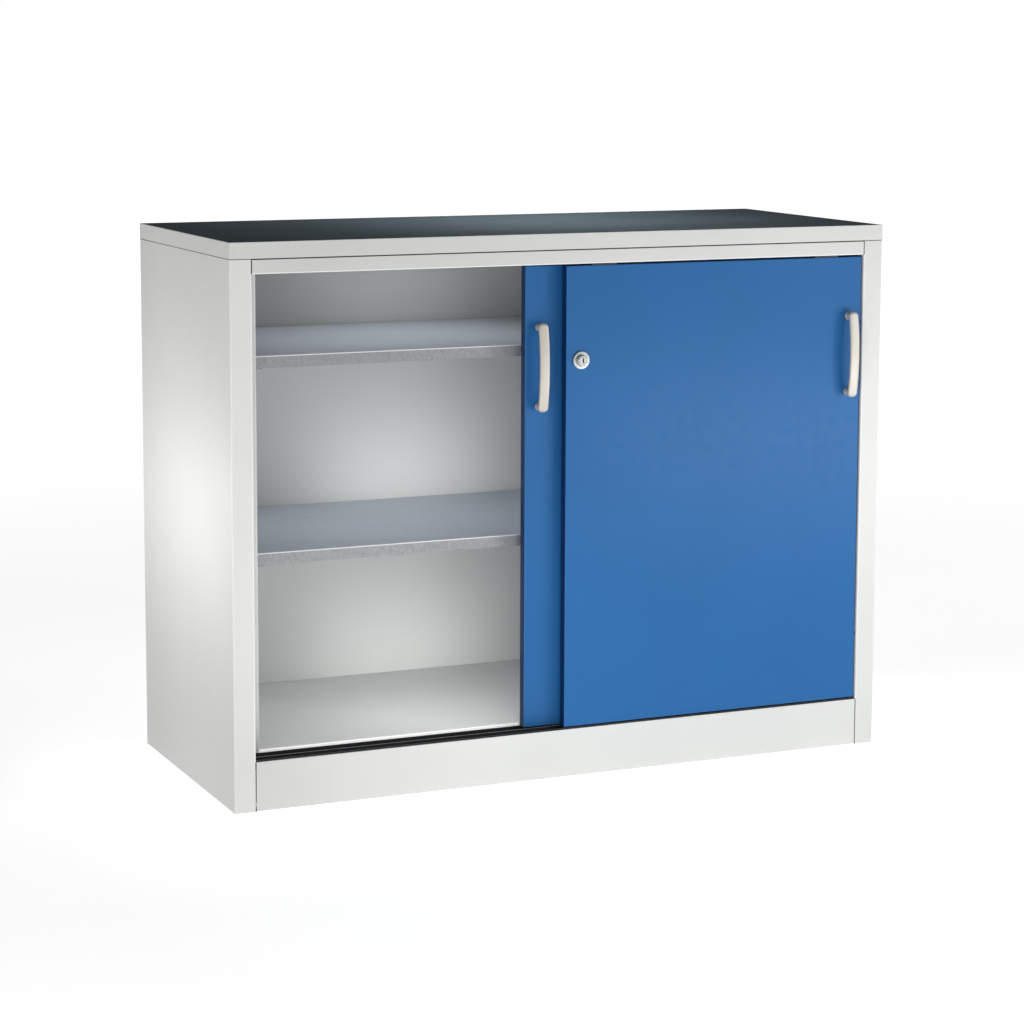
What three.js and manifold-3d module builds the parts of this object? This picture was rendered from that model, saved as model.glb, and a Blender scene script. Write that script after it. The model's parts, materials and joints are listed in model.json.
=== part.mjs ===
// Sliding door cabinet in sheet steel, with two doors that pass each other.
// Millimetres, +Z up. X runs across the front, Y runs from the front to the back.
import * as THREE from 'three';
import { mergeVertices } from 'three/addons/utils/BufferGeometryUtils.js';
import Module from 'manifold-3d';

const wasm = await Module();
wasm.setup();

// The cabinet's overall sizes, and the gap that pieces keep where they touch
const width = 1200;
const depth = 500;
const height = 930;
const seat = 0.3;
const overrun = 5;

// Body sheet: the posts are folded from the side panels
const bodySheet = 1;
const bodyBend = 1;
const postWidth = 37;
const frameSetback = 50;
const rearReturn = 25;
const rearLip = 12;
const sideFlange = 20;

// Top tray, which holds the mat in a shallow recess inside its rim
const topHeight = 27;
const topRim = 1.7;
const topRecess = 4;
const topReturn = 20;
const topEdge = 0.8;
const matDrop = 0.3;
const ribPitch = 6;
const ribGroove = 1.6;
const ribDepth = 0.8;

// Front rails and floor
const headerHeight = 24.2;
const headerLip = 3;
const plinthHeight = 82.7;
const plinthHem = 11;
const plinthFoot = 25;
const floorHeight = 90;
const floorFlange = 20;
const shelfDrop = 19.3;

// Perforated uprights behind the posts, and what hangs in them
const frameReach = 60;
const uprightSheet = 1.2;
const uprightDepth = 30;
const uprightLip = 12;
const slotPitch = 25;
const slotWidth = 4.2;
const slotHeight = 10;
const slotInset = 21;
const slotOffset = 10;
const slotRise = 15;
const slotMargin = 50;
const shelfShares = [0.42, 0.84];
const shelfSheet = 1;
const shelfBend = 1;
const shelfHeight = 20;
const shelfReturn = 12;
const shelfPlay = 1;
const shelfSetback = 15;
const shelfBackGap = 4;
const clipSheet = 1.5;
const clipBend = 0.5;
const clipWidth = 12;
const clipReach = 15;
const clipLeg = 9;
const clipTongue = 3.4;
const clipHook = 3;

// Doors: folded trays, the outer one in front of the inner one
const doorSheet = 1.2;
const doorBend = 1.6;
const doorDepth = 17;
const doorInset = 3;
const doorSpacing = 24;
const doorReturn = 12;
const doorOverlap = 18.4;
const doorSideGap = 2.7;
const doorTopGap = 3.5;
const doorLift = 1.3;
const openStagger = 64.8;
const stiffenerWidth = 30;
const stiffenerFlange = 15;
const stiffenerSheet = 1;
const stiffenerClearance = 1.5;

// Bow handles: a bowed strap on two round legs, held by screws from inside the door
const handleLength = 151;
const handlePitch = 134;
const handleWidth = 17.5;
const handleEndReach = 20;
const handleReach = 28;
const handleStrap = 6.5;
const handleLeg = 14;
const handleCorner = 4;
const handleEndRound = 8;
const handleEdge = 2;
const handleInset = 25;
const handleDrop = 170;
const screwShank = 4;
const screwHead = 8;
const screwHeadHeight = 3;
const screwLength = 12;
const screwDrive = 3;
const screwDriveDepth = 1.6;

// Push lock with a turning key plug, and the strike that its pin enters
const lockDrop = 159;
const lockInset = 27;
const collarDiameter = 30;
const collarHeight = 3;
const collarEdge = 1;
const barrelDiameter = 23;
const barrelShort = 0.8;
const nutDiameter = 32;
const nutHeight = 4;
const plungerDiameter = 18;
const plungerProud = 10;
const plungerTravel = 6.5;
const plungerEdge = 1;
const lockWall = 2;
const pinDiameter = 8;
const rotorDiameter = 12;
const rotorDepth = 9;
const keySlotWidth = 1.8;
const keySlotHeight = 8;
const keySlotDepth = 4;
const keySlotStep = 1;
const strikeSheet = 1.5;
const strikeBend = 1;
const strikeHeight = 40;
const strikeReach = 18;
const strikeLeg = 14;
const strikeHole = 10;
const strikeClearance = 2.3;

// Running gear: rollers in the lower track, guides in the upper rail
const trackHeight = 14.2;
const trackBase = 2;
const trackFloor = 5;
const trackWall = 1.6;
const grooveWidth = 7.2;
const rollerRadius = 18.5;
const rollerWidth = 6;
const rollerRound = 1.2;
const rollerHub = 5;
const rollerRecess = 1.2;
const rollerRim = 3;
const rollerInset = 70;
const axleDiameter = 5;
const carriageLength = 58;
const carriageTop = 44;
const carriageHeight = 26;
const carriageWidth = 12;
const carriageLift = 1.2;
const wheelClearance = 0.8;
const railSheet = 1.2;
const railDepth = 21;
const channelWidth = 12;
const guideInset = 70;
const guideLength = 34;
const guidePlay = 0.5;
const guideRise = 15;
const guideFoot = 48;
const guideFootWidth = 15;
const guideFootHeight = 2.4;
const guidePeg = 6;
const guidePegLength = 8;
const bufferDiameter = 12;
const bufferInset = 115;
const stopLength = 20;

// Facet counts
const bendSteps = 3;
const cornerSteps = 3;
const roundSteps = 24;
const rollerSteps = 20;
const curveSteps = 6;
const edgeSteps = 2;

// Places that several pieces share, worked out from the sizes above
const edge = width / 2;
const doorway = width - 2 * postWidth;
const sideHeight = height - topHeight - seat;
const headerLow = sideHeight - headerHeight;
const frameBack = depth - rearLip - seat;
const trackShelf = floorHeight - shelfDrop;
const trackLow = trackShelf + seat;
const trackTop = trackLow + trackHeight;
const trackFront = 2 * bodySheet + seat;
const trackBack = frameSetback - bodyBend - seat;
const doorLow = trackTop + doorLift;
const doorTop = headerLow - doorTopGap;
const doorHeight = doorTop - doorLow;
const handleUp = doorHeight - handleDrop;
const lockUp = doorHeight - lockDrop;
const doorWidth = (doorway - 2 * doorSideGap + doorOverlap) / 2;
const outerClosed = edge - postWidth - doorSideGap - doorWidth;
const innerClosed = -edge + postWidth + doorSideGap;
const innerOpen = outerClosed - openStagger;
const doorTravel = innerOpen - innerClosed;
const outerMiddle = doorInset + doorDepth / 2;
const innerMiddle = outerMiddle + doorSpacing;
const railHigh = sideHeight - bodySheet - seat;
const railLow = railHigh - railDepth;
const uprightLow = bodySheet + seat;
const uprightHigh = sideHeight - bodySheet - seat;
const slotBase = floorHeight - shelfHeight - slotOffset;
const firstSlot = Math.ceil((floorHeight + slotRise - slotBase) / slotPitch);
const lastSlot = Math.floor((uprightHigh - slotMargin - slotBase) / slotPitch);
const shelfSteps = shelfShares.map((share) => Math.round(share * lastSlot));
const frameInner = -edge + frameReach;
const handleProud = handleReach - doorInset;
const frontPlane = -(depth - handleProud) / 2;

// Finishes: colour, roughness and metalness
const finishes = {
  body: [0xd3d5d4, 0.45, 0.05],
  door: [0x2f6cb0, 0.4, 0.05],
  zinc: [0xa9b0b6, 0.4, 0.85],
  track: [0x17191b, 0.55, 0],
  mat: [0x3c4650, 0.85, 0],
  handle: [0xd8d2c8, 0.3, 0.8],
  nickel: [0xcfd0ce, 0.22, 0.95],
  steel: [0xb4b6b8, 0.35, 0.9],
  nylon: [0x303336, 0.5, 0],
  rubber: [0x24262a, 0.8, 0],
};

// Turns a closed geometry into a solid, facing outwards whichever way it was drawn
function solid(geometry) {
  const bare = geometry.clone();
  bare.deleteAttribute('normal');
  bare.deleteAttribute('uv');
  const merged = mergeVertices(bare);
  const points = merged.getAttribute('position');
  const corners = Array.from(merged.index.array);
  const [a, b, c] = [new THREE.Vector3(), new THREE.Vector3(), new THREE.Vector3()];
  const kept = [];
  let volume = 0;
  for (let i = 0; i < corners.length; i += 3) {
    const [p, q, r] = corners.slice(i, i + 3);
    if (p === q || q === r || r === p) continue;
    kept.push(p, q, r);
    a.fromBufferAttribute(points, p);
    b.fromBufferAttribute(points, q);
    c.fromBufferAttribute(points, r);
    volume += a.dot(b.cross(c));
  }
  if (volume < 0) kept.reverse();
  const mesh = new wasm.Mesh({
    numProp: 3,
    vertProperties: new Float32Array(points.array),
    triVerts: new Uint32Array(kept),
  });
  return new wasm.Manifold(mesh);
}

// Turns a solid back into a three.js geometry with flat faces
function faceted(manifold) {
  const { numProp, vertProperties, triVerts } = manifold.getMesh();
  const points = new Float32Array((vertProperties.length / numProp) * 3);
  for (let i = 0; i < points.length / 3; i += 1) {
    points.set(vertProperties.subarray(i * numProp, i * numProp + 3), i * 3);
  }
  const geometry = new THREE.BufferGeometry();
  geometry.setAttribute('position', new THREE.BufferAttribute(points, 3));
  geometry.setIndex(new THREE.BufferAttribute(new Uint32Array(triVerts), 1));
  const flat = geometry.toNonIndexed();
  flat.computeVertexNormals();
  return flat;
}

function cut(geometry, ...tools) {
  return faceted(tools.reduce((body, tool) => body.subtract(solid(tool)), solid(geometry)));
}

function join(geometry, ...others) {
  return faceted(others.reduce((body, other) => body.add(solid(other)), solid(geometry)));
}

function common(geometry, other) {
  return faceted(solid(geometry).intersect(solid(other)));
}

function mirrored(geometry, x, y) {
  return faceted(solid(geometry.clone().scale(x, y, 1)));
}

function block([x0, x1], [y0, y1], [z0, z1]) {
  const geometry = new THREE.BoxGeometry(x1 - x0, y1 - y0, z1 - z0);
  return geometry.translate((x0 + x1) / 2, (y0 + y1) / 2, (z0 + z1) / 2);
}

// A round bar along Y, from y0 to y1
function barY(diameter, y0, y1, steps = roundSteps) {
  const geometry = new THREE.CylinderGeometry(diameter / 2, diameter / 2, y1 - y0, steps);
  return geometry.translate(0, (y0 + y1) / 2, 0);
}

function barZ(diameter, z0, z1, steps = roundSteps) {
  return barY(diameter, z0, z1, steps).rotateX(Math.PI / 2);
}

// Extrusions: a plan outline in X and Y goes up, a side outline in Y and Z goes across,
// and a front outline in X and Z goes from the front to the back
function extrudeUp(outline, z0, z1) {
  const options = { depth: z1 - z0, bevelEnabled: false, curveSegments: cornerSteps };
  return new THREE.ExtrudeGeometry(outline, options).translate(0, 0, z0);
}

function extrudeAcross(outline, x0, x1) {
  return extrudeUp(outline, x0, x1).rotateZ(Math.PI / 2).rotateY(Math.PI / 2);
}

function extrudeBack(outline, y0, y1) {
  return extrudeUp(outline, -y1, -y0).rotateX(Math.PI / 2);
}

function polygon(points) {
  return new THREE.Shape(points.map(([u, v]) => new THREE.Vector2(u, v)));
}

function roundedRectangle(u0, u1, v0, v1, radius) {
  const outline = new THREE.Shape();
  outline.moveTo(u0 + radius, v0);
  outline.absarc(u1 - radius, v0 + radius, radius, -Math.PI / 2, 0, false);
  outline.absarc(u1 - radius, v1 - radius, radius, 0, Math.PI / 2, false);
  outline.absarc(u0 + radius, v1 - radius, radius, Math.PI / 2, Math.PI, false);
  outline.absarc(u0 + radius, v0 + radius, radius, Math.PI, 1.5 * Math.PI, false);
  return outline;
}

// The section of a folded sheet. The corners follow one face of the sheet, which lies on
// their left, and each fold is an arc with the given inside radius.
function foldedSection(corners, sheet, radius) {
  const path = corners.map(([u, v]) => new THREE.Vector2(u, v));
  const face = [];
  const back = [];
  const last = path.length - 1;
  path.forEach((here, i) => {
    const before = here.clone().sub(path[Math.max(i - 1, 0)]).normalize();
    const after = path[Math.min(i + 1, last)].clone().sub(here).normalize();
    if (i === 0 || i === last) {
      const along = i === 0 ? after : before;
      face.push(here);
      back.push(here.clone().add(new THREE.Vector2(-along.y, along.x).multiplyScalar(sheet)));
      return;
    }
    const turn = Math.sign(before.cross(after));
    const angle = before.angleTo(after);
    const near = turn > 0 ? radius + sheet : radius;
    const far = turn > 0 ? radius : radius + sheet;
    const towards = new THREE.Vector2(-before.y, before.x).multiplyScalar(turn);
    const centre = here.clone().addScaledVector(before, -near * Math.tan(angle / 2));
    centre.addScaledVector(towards, near);
    for (let k = 0; k <= bendSteps; k += 1) {
      const spoke = towards.clone().negate();
      spoke.rotateAround(new THREE.Vector2(), (turn * angle * k) / bendSteps);
      face.push(centre.clone().addScaledVector(spoke, near));
      back.push(centre.clone().addScaledVector(spoke, far));
    }
  });
  return new THREE.Shape([...face, ...back.reverse()]);
}

// A tray folded from one sheet. Its front is at y = 0 with rounded edges, and it is open
// at the back, inside a return of the given width.
function tray(across, up, deep, sheet, radius, inward) {
  const outline = polygon([
    [radius, radius],
    [across - radius, radius],
    [across - radius, up - radius],
    [radius, up - radius],
  ]);
  const options = {
    depth: deep - radius,
    bevelSize: radius,
    bevelThickness: radius,
    bevelSegments: bendSteps,
  };
  const form = new THREE.ExtrudeGeometry(outline, options).rotateX(Math.PI / 2);
  form.translate(0, deep, 0);
  const around = [-overrun, across + overrun];
  const behind = block(around, [deep, deep + overrun + radius], [-overrun, up + overrun]);
  const inside = [sheet, across - sheet];
  const hollow = block(inside, [sheet, inward > 0 ? deep - sheet : deep + overrun], [sheet, up - sheet]);
  if (inward <= 0) return cut(form, behind, hollow);
  const lip = [deep - sheet - overrun, deep + overrun];
  const mouth = block([inward, across - inward], lip, [inward, up - inward]);
  return cut(form, behind, hollow, mouth);
}

function revolve(profile, steps) {
  return new THREE.LatheGeometry(profile.map(([r, y]) => new THREE.Vector2(r, y)), steps);
}

function piece(name, finish, geometry, x = 0, y = 0, z = 0) {
  const [color, roughness, metalness] = finishes[finish];
  const material = new THREE.MeshStandardMaterial({ color, roughness, metalness });
  const mesh = new THREE.Mesh(faceted(solid(geometry)), material);
  mesh.name = name;
  mesh.position.set(x, y, z);
  return mesh;
}

// Carcass
function sidePanelForm() {
  const section = foldedSection([
    [-edge + rearReturn, frameBack + seat],
    [-edge + rearReturn, depth],
    [-edge, depth],
    [-edge, 0],
    [-edge + postWidth, 0],
    [-edge + postWidth, frameSetback - seat],
  ], bodySheet, bodyBend);
  const across = [-edge + bodySheet / 2, -edge + sideFlange];
  const along = [bodySheet / 2, depth - bodySheet / 2];
  const foot = block(across, along, [0, bodySheet]);
  const head = block(across, along, [sideHeight - bodySheet, sideHeight]);
  return join(extrudeUp(section, 0, sideHeight), foot, head);
}

function backPanelForm() {
  const across = width - 2 * (rearReturn + seat);
  return tray(across, sideHeight, rearLip, bodySheet, bodyBend, 0).rotateZ(Math.PI);
}

// The floor's corners are notched round the posts and the uprights
function floorForm() {
  const back = depth - bodySheet - seat;
  const section = foldedSection([
    [back, floorHeight - floorFlange],
    [back, floorHeight],
    [frameSetback, floorHeight],
    [frameSetback, trackShelf],
    [bodySheet + seat, trackShelf],
  ], bodySheet, bodyBend);
  const half = edge - bodySheet - seat;
  const reach = [floorHeight - floorFlange - overrun, floorHeight + overrun];
  const notches = [-1, 1].flatMap((side) => {
    const outside = side * (half + overrun);
    const post = [side * (edge - postWidth - seat), outside].sort((a, b) => a - b);
    const upright = [-side * (frameInner + seat), outside].sort((a, b) => a - b);
    return [
      block(post, [-overrun, frameSetback], reach),
      block(upright, [frameSetback - seat, frameSetback + uprightDepth + seat], reach),
      block(upright, [frameBack - uprightDepth - seat, depth + overrun], reach),
    ];
  });
  return cut(extrudeAcross(section, -half, half), ...notches);
}

// The plinth's top edge is a hem, folded flat against the back of its front
function plinthForm() {
  const section = new THREE.Shape();
  section.moveTo(0, bodySheet);
  section.lineTo(0, plinthHeight - bodySheet);
  section.absarc(bodySheet, plinthHeight - bodySheet, bodySheet, Math.PI, 0, true);
  section.lineTo(2 * bodySheet, plinthHeight - plinthHem);
  section.lineTo(bodySheet, plinthHeight - plinthHem);
  section.lineTo(bodySheet, bodySheet);
  section.lineTo(plinthFoot, bodySheet);
  section.lineTo(plinthFoot, 0);
  section.lineTo(bodySheet, 0);
  section.absarc(bodySheet, bodySheet, bodySheet, 1.5 * Math.PI, Math.PI, true);
  const half = edge - postWidth - seat;
  return extrudeAcross(section, -half, half);
}

function headerForm() {
  const section = foldedSection([
    [frameSetback - seat, sideHeight],
    [0, sideHeight],
    [0, headerLow],
    [headerLip, headerLow],
  ], bodySheet, bodyBend);
  const half = edge - postWidth - seat;
  return extrudeAcross(section, -half, half);
}

function topForm() {
  const outline = polygon([
    [-edge + topEdge, topEdge],
    [edge - topEdge, topEdge],
    [edge - topEdge, depth - topEdge],
    [-edge + topEdge, depth - topEdge],
  ]);
  const options = {
    depth: topHeight - topEdge,
    bevelSize: topEdge,
    bevelThickness: topEdge,
    bevelSegments: edgeSteps,
  };
  const form = new THREE.ExtrudeGeometry(outline, options);
  const reach = edge + overrun;
  const below = block([-reach, reach], [-overrun, depth + overrun], [-topEdge - overrun, 0]);
  const inside = edge - topRim;
  const skinTop = topHeight - topRecess;
  const recess = block([-inside, inside], [topRim, depth - topRim], [skinTop, topHeight + overrun]);
  const hollow = block([-inside, inside], [topRim, depth - topRim], [bodySheet, skinTop - bodySheet]);
  const opening = edge - topReturn;
  const mouth = block([-opening, opening], [topReturn, depth - topReturn], [-overrun, bodySheet + overrun]);
  return cut(form, below, recess, hollow, mouth);
}

// Fine ribs run the length of the mat
function matForm() {
  const front = topRim + seat;
  const back = depth - topRim - seat;
  const low = height - topRecess + seat;
  const high = height - matDrop;
  const count = Math.floor((back - front) / ribPitch);
  const pitch = (back - front) / count;
  const points = [[back, low], [front, low], [front, high]];
  for (let i = 1; i < count; i += 1) {
    const y = front + i * pitch;
    points.push([y - ribGroove / 2, high], [y, high - ribDepth], [y + ribGroove / 2, high]);
  }
  points.push([back, high]);
  const half = edge - topRim - seat;
  return extrudeAcross(polygon(points), -half, half);
}

function slotHeightAt(step) {
  return slotBase + step * slotPitch;
}

// A channel with its web to the front, and slots for the shelf clips in its inner flange
function uprightForm() {
  const wall = -edge + bodySheet + seat;
  const section = foldedSection([
    [wall, frameSetback + uprightDepth],
    [wall, frameSetback],
    [frameInner, frameSetback],
    [frameInner, frameSetback + uprightDepth],
    [frameInner - uprightLip, frameSetback + uprightDepth],
  ], uprightSheet, bodyBend);
  const across = [frameInner - uprightSheet - overrun, frameInner + overrun];
  const along = [frameSetback + slotInset - slotWidth / 2, frameSetback + slotInset + slotWidth / 2];
  const slots = [];
  for (let step = firstSlot; step <= lastSlot; step += 1) {
    const z = slotHeightAt(step);
    slots.push(block(across, along, [z - slotHeight / 2, z + slotHeight / 2]));
  }
  return cut(extrudeUp(section, uprightLow, uprightHigh), ...slots);
}

function shelfForm() {
  const across = 2 * (-frameInner - shelfPlay);
  const front = frameSetback + shelfSetback;
  const along = depth - bodySheet - shelfBackGap - front;
  const form = tray(across, along, shelfHeight, shelfSheet, shelfBend, shelfReturn);
  return form.rotateX(-Math.PI / 2).translate(-across / 2, front, 0);
}

// A clip hooks through a slot and holds the shelf's edge on its ledge. It is drawn for an
// upright on the left, from the slot's middle.
function clipForm() {
  const high = slotOffset - seat;
  const section = foldedSection([
    [seat + clipReach, high],
    [seat, high],
    [seat, -clipLeg],
  ], clipSheet, clipBend);
  const plate = extrudeBack(section, -clipWidth / 2, clipWidth / 2);
  const low = -slotHeight / 2 + seat;
  const behind = -uprightSheet - seat;
  const thick = [-clipTongue / 2, clipTongue / 2];
  const tongue = block([behind - clipSheet, seat + clipSheet / 2], thick, [low, low + clipHook]);
  const hook = block([behind - clipSheet, behind], thick, [low - clipHook, low + clipHook / 2]);
  return join(plate, tongue, hook);
}

// Tracks
function lowerTrackForm() {
  const high = trackTop;
  const channel = trackLow + trackFloor;
  const groove = trackLow + trackBase;
  const ridge = (outerMiddle + innerMiddle) / 2;
  const points = [[trackFront, trackLow], [trackFront, high], [trackFront + trackWall, high]];
  points.push([trackFront + trackWall, channel]);
  [outerMiddle, innerMiddle].forEach((middle) => {
    if (middle === innerMiddle) {
      points.push([ridge - trackWall / 2, channel], [ridge - trackWall / 2, high]);
      points.push([ridge + trackWall / 2, high], [ridge + trackWall / 2, channel]);
    }
    points.push([middle - grooveWidth / 2, channel], [middle - grooveWidth / 2, groove]);
    points.push([middle + grooveWidth / 2, groove], [middle + grooveWidth / 2, channel]);
  });
  points.push([trackBack - trackWall, channel], [trackBack - trackWall, high]);
  points.push([trackBack, high], [trackBack, trackLow]);
  const half = edge - postWidth - seat;
  return extrudeAcross(polygon(points), -half, half);
}

function upperRailForm() {
  const inner = channelWidth / 2;
  const outer = inner + railSheet;
  const web = railHigh - railSheet;
  const points = [[outerMiddle - outer, railLow], [outerMiddle - outer, railHigh]];
  points.push([innerMiddle + outer, railHigh], [innerMiddle + outer, railLow]);
  points.push([innerMiddle + inner, railLow], [innerMiddle + inner, web]);
  points.push([innerMiddle - inner, web], [innerMiddle - inner, railLow]);
  points.push([innerMiddle - outer, railLow], [innerMiddle - outer, web]);
  points.push([outerMiddle + outer, web], [outerMiddle + outer, railLow]);
  points.push([outerMiddle + inner, railLow], [outerMiddle + inner, web]);
  points.push([outerMiddle - inner, web], [outerMiddle - inner, railLow]);
  const half = edge - postWidth - seat;
  return extrudeAcross(polygon(points), -half, half);
}

// A stop sits in the rail's channel, where a guide meets it at the door's open end
function stopForm() {
  const half = channelWidth / 2 - seat;
  const high = railHigh - railSheet - seat;
  const low = railLow;
  const body = roundedRectangle(0, stopLength, -half, half, railSheet);
  return extrudeUp(body, low, high);
}

function bufferForm() {
  const thick = doorSideGap - 2 * seat;
  const profile = [
    [0, 0],
    [bufferDiameter / 2, 0],
    [bufferDiameter / 2, thick / 2],
    [bufferDiameter / 2 - thick / 2, thick],
    [0, thick],
  ];
  return revolve(profile, roundSteps).rotateZ(-Math.PI / 2).translate(seat, 0, 0);
}

// Doors. Each is drawn from its lower left front corner, with its face at y = 0.
function screwHoles(handleX) {
  return [-1, 1].map((end) => {
    const hole = barY(screwShank + 2 * seat, -overrun, overrun);
    return hole.translate(handleX, 0, handleUp + end * handlePitch / 2);
  });
}

function doorForm(handleX, withLock) {
  const form = tray(doorWidth, doorHeight, doorDepth, doorSheet, doorBend, doorReturn);
  const wheel = wheelPlaces();
  const low = doorSheet + overrun;
  const slots = wheel.map((x) => {
    const half = rollerRadius + wheelClearance;
    const side = rollerWidth / 2 + wheelClearance;
    return block([x - half, x + half], [doorDepth / 2 - side, doorDepth / 2 + side], [-overrun, low]);
  });
  const pegs = guidePlaces().map((x) => {
    const hole = barZ(guidePeg + 2 * seat, doorHeight - low, doorHeight + overrun);
    return hole.translate(x, doorDepth / 2, 0);
  });
  const bore = barY(barrelDiameter + 2 * seat, -overrun, overrun);
  const locks = withLock ? [bore.translate(lockInset, 0, lockUp)] : [];
  return cut(form, ...slots, ...pegs, ...screwHoles(handleX), ...locks);
}

function wheelPlaces() {
  return [rollerInset, doorWidth - rollerInset];
}

function guidePlaces() {
  return [guideInset, doorWidth - guideInset];
}

function stiffenerForm() {
  const front = doorSheet + seat;
  const back = doorDepth - doorSheet - seat - stiffenerSheet;
  const half = stiffenerWidth / 2;
  const section = foldedSection([
    [-half - stiffenerFlange, front],
    [-half, front],
    [-half, back],
    [half, back],
    [half, front],
    [half + stiffenerFlange, front],
  ], stiffenerSheet, bodyBend);
  const end = doorSheet + stiffenerClearance;
  return extrudeUp(section, end, doorHeight - end).translate(doorWidth / 2, 0, 0);
}

// The strap is drawn from the side, cut to the rounded ends that show from the front, and
// joined to its two legs
function handleForm() {
  const half = handleLength / 2;
  const bow = 2 * handleReach - handleEndReach;
  const endInside = handleEndReach - handleStrap;
  const side = new THREE.Shape();
  side.moveTo(-endInside, -half);
  side.lineTo(-handleEndReach + handleCorner, -half);
  side.quadraticCurveTo(-handleEndReach, -half, -handleEndReach, -half + handleCorner);
  side.quadraticCurveTo(-bow, 0, -handleEndReach, half - handleCorner);
  side.quadraticCurveTo(-handleEndReach, half, -handleEndReach + handleCorner, half);
  side.lineTo(-endInside, half);
  side.quadraticCurveTo(-bow + handleStrap, 0, -endInside, -half);
  const options = {
    depth: handleWidth - 2 * handleEdge,
    bevelSize: handleEdge,
    bevelOffset: -handleEdge,
    bevelThickness: handleEdge,
    bevelSegments: edgeSteps,
    curveSegments: curveSteps,
  };
  const bar = new THREE.ExtrudeGeometry(side, options);
  bar.translate(0, 0, -handleWidth / 2 + handleEdge);
  bar.rotateZ(Math.PI / 2).rotateY(Math.PI / 2);
  const wide = handleWidth / 2;
  const front = roundedRectangle(-wide, wide, -half, half, handleEndRound);
  const strap = common(bar, extrudeBack(front, -handleReach - overrun, overrun));
  const ends = [-1, 1].map((end) => end * handlePitch / 2);
  const legs = ends.map((z) => barY(handleLeg, -endInside - handleStrap / 2, -seat).translate(0, 0, z));
  const bores = ends.map((z) => barY(screwShank + 2 * seat, -screwLength, overrun).translate(0, 0, z));
  return cut(join(strap, ...legs), ...bores);
}

// A pan head screw, from the back of the door's face into the handle's foot
function screwForm() {
  const head = doorSheet + seat;
  const top = head + screwHeadHeight;
  const profile = [
    [0, -screwLength + 2 * seat],
    [screwShank / 2, -screwLength + 2 * seat],
    [screwShank / 2, head],
    [screwHead / 2, head],
    [screwHead / 2, top - screwHeadHeight / 2],
    [screwHead / 4, top],
    [0, top],
  ];
  const recess = new THREE.CylinderGeometry(screwDrive / 2, screwDrive / 2, screwDriveDepth * 2, 6);
  return cut(revolve(profile, roundSteps / 2), recess.translate(0, top, 0));
}

function guideForm() {
  const half = guideLength / 2;
  const side = channelWidth / 2 - guidePlay;
  const foot = guideFoot / 2;
  const footSide = guideFootWidth / 2;
  const plate = roundedRectangle(-foot, foot, -footSide, footSide, guideFootHeight);
  const fin = roundedRectangle(-half, half, -side, side, side - guidePlay);
  return join(
    extrudeUp(plate, seat, seat + guideFootHeight),
    extrudeUp(fin, seat + guideFootHeight / 2, guideRise),
    barZ(guidePeg, -guidePegLength, seat + guideFootHeight / 2, roundSteps / 2),
  );
}

// Roller, drawn about its axle along Y
function rollerForm() {
  const side = rollerWidth / 2;
  const bore = axleDiameter / 2 + seat;
  const rim = rollerRadius - rollerRim;
  const dish = side - rollerRecess;
  const profile = [
    [bore, -side],
    [bore + rollerHub - rollerRecess, -side],
    [bore + rollerHub - rollerRecess, -dish],
    [rim, -dish],
    [rim, -side],
    [rollerRadius - rollerRound, -side],
    [rollerRadius, -side + rollerRound],
    [rollerRadius, side - rollerRound],
    [rollerRadius - rollerRound, side],
    [rim, side],
    [rim, dish],
    [bore + rollerHub - rollerRecess, dish],
    [bore + rollerHub - rollerRecess, side],
    [bore, side],
    [bore, -side],
  ];
  return revolve(profile, rollerSteps);
}

// Carriage: a housing that holds the roller's axle, open below for the roller
function carriageForm(axleUp) {
  const low = doorSheet + seat - axleUp;
  const high = low + carriageHeight;
  const outline = polygon([
    [-carriageLength / 2, low],
    [carriageLength / 2, low],
    [carriageLength / 2, low + carriageHeight / 3],
    [carriageTop / 2, high],
    [-carriageTop / 2, high],
    [-carriageLength / 2, low + carriageHeight / 3],
  ]);
  const half = carriageWidth / 2;
  const room = rollerWidth / 2 + wheelClearance;
  const reach = rollerRadius + wheelClearance;
  const well = barY(2 * reach, -room, room, rollerSteps);
  const mouth = block([-reach, reach], [-room, room], [low - overrun, 0]);
  const axle = barY(axleDiameter, -half + carriageLift, half - carriageLift, roundSteps / 2);
  return join(cut(extrudeBack(outline, -half, half), well, mouth), axle);
}

// Lock, drawn about its axis along Y, with the door's face at y = 0
function housingForm() {
  const bore = plungerDiameter / 2 + seat;
  const collar = collarDiameter / 2;
  const barrel = barrelDiameter / 2;
  const back = doorDepth - barrelShort;
  const pinBore = pinDiameter / 2 + seat;
  const profile = [
    [bore, -seat - collarHeight],
    [collar - collarEdge, -seat - collarHeight],
    [collar, -seat - collarHeight + collarEdge],
    [collar, -seat],
    [barrel, -seat],
    [barrel, back],
    [pinBore, back],
    [pinBore, back - lockWall],
    [bore, back - lockWall],
    [bore, -seat - collarHeight],
  ];
  return revolve(profile, roundSteps);
}

function nutForm() {
  const bore = barrelDiameter / 2 + seat;
  const low = doorSheet + seat;
  const across = nutDiameter / 2;
  const hex = new THREE.CylinderGeometry(across, across, nutHeight, 6);
  hex.translate(0, low + nutHeight / 2, 0);
  return cut(hex, barY(2 * bore, -overrun, doorDepth));
}

function plungerForm() {
  const radius = plungerDiameter / 2;
  const front = -plungerProud;
  const tip = doorDepth - barrelShort;
  const back = tip - lockWall - seat - plungerTravel;
  const bore = rotorDiameter / 2 + seat;
  const pocket = front + rotorDepth + seat;
  const profile = [
    [0, pocket],
    [bore, pocket],
    [bore, front],
    [radius - plungerEdge, front],
    [radius, front + plungerEdge],
    [radius, back],
    [pinDiameter / 2, back],
    [pinDiameter / 2, tip - plungerEdge],
    [pinDiameter / 2 - plungerEdge, tip],
    [0, tip],
  ];
  return revolve(profile, roundSteps);
}

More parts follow.
